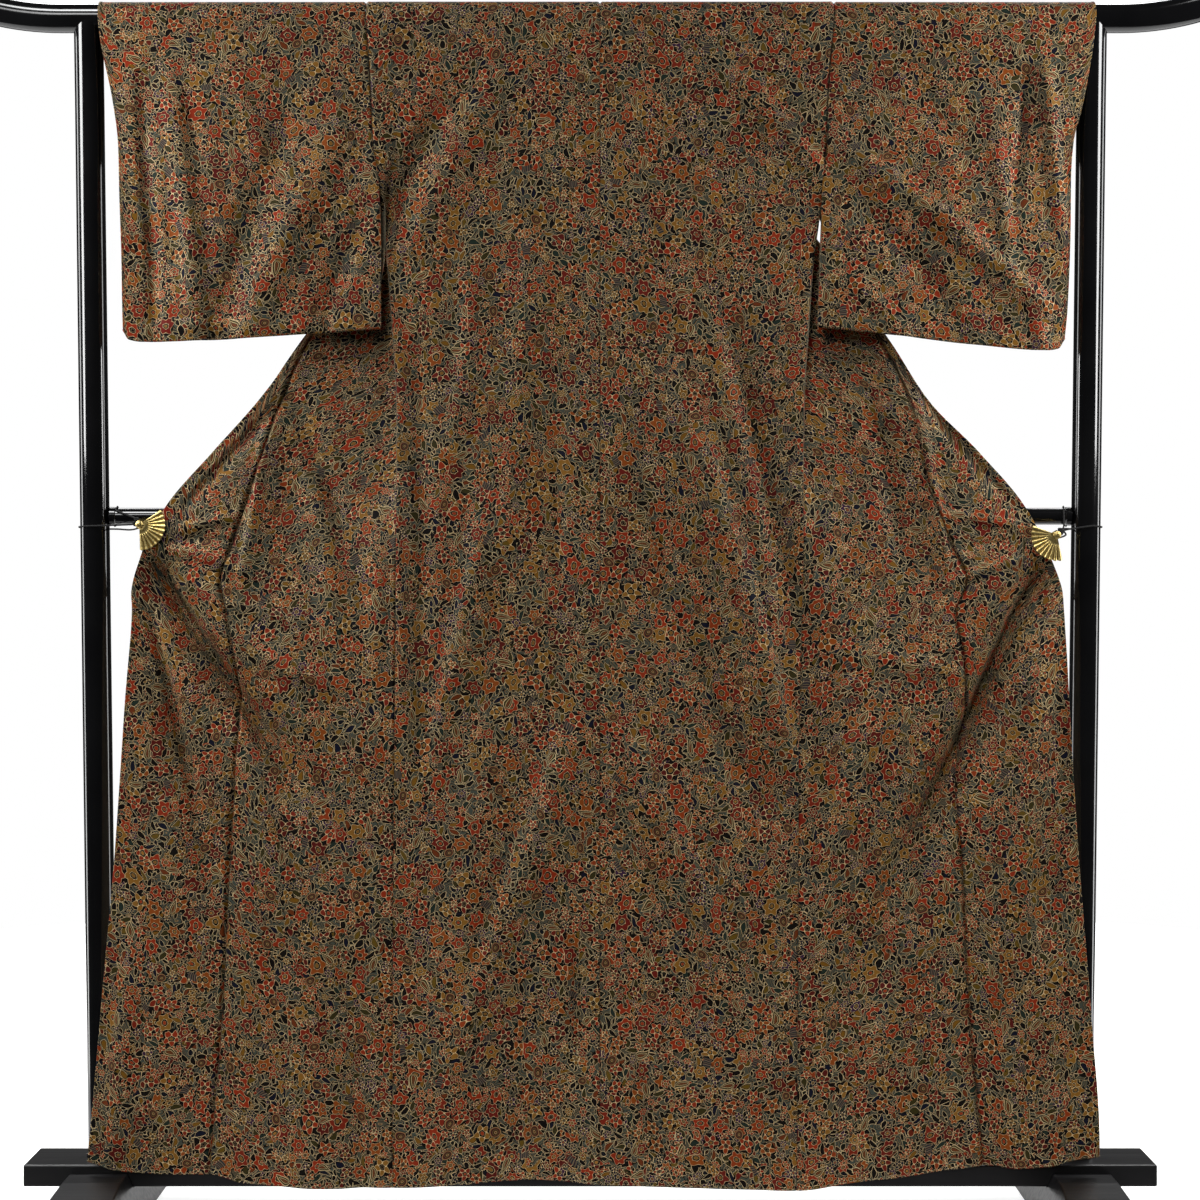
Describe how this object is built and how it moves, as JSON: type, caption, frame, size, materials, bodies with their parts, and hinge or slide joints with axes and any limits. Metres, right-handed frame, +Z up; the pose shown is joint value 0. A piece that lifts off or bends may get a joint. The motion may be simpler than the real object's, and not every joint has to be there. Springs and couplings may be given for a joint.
{
  "type": "kimono on a display stand",
  "caption": "Long printed silk kimono spread over a black display stand, seen from its back, sleeves along the rail, both fronts held open by fan clips.",
  "frame": {"origin": "on the floor under the middle of the stand", "axes": "+Z up, -Y the side that the kimono's back faces, +X toward the wearer's right"},
  "size_m": [1.8262, 0.48, 1.6316],
  "materials": {
    "printed_silk": "soft-sheen woven silk, small all-over print",
    "pipe_enamel": "gloss black enamel",
    "base_lacquer": "gloss black lacquer",
    "clip_brass": "polished, pressed pleats",
    "cord_braid": "thin black braid"
  },
  "bodies": {
    "root": {"back_left": "printed_silk", "back_right": "printed_silk", "front_left": "printed_silk", "front_right": "printed_silk", "okumi_left": "printed_silk", "okumi_right": "printed_silk", "sleeve_left": "printed_silk", "sleeve_right": "printed_silk", "collar": "printed_silk", "top_rail": "pipe_enamel", "post_left": "pipe_enamel", "post_right": "pipe_enamel", "middle_rail": "pipe_enamel", "base_beam": "base_lacquer", "foot_left": "base_lacquer", "foot_right": "base_lacquer", "clip_fan_left": "clip_brass", "clip_jaw_left": "clip_brass", "clip_knob_left": "clip_brass", "clip_cord_left": "cord_braid", "clip_tie_left": "cord_braid", "clip_fan_right": "clip_brass", "clip_jaw_right": "clip_brass", "clip_knob_right": "clip_brass", "clip_cord_right": "cord_braid", "clip_tie_right": "cord_braid"}
  },
  "joints": []
}
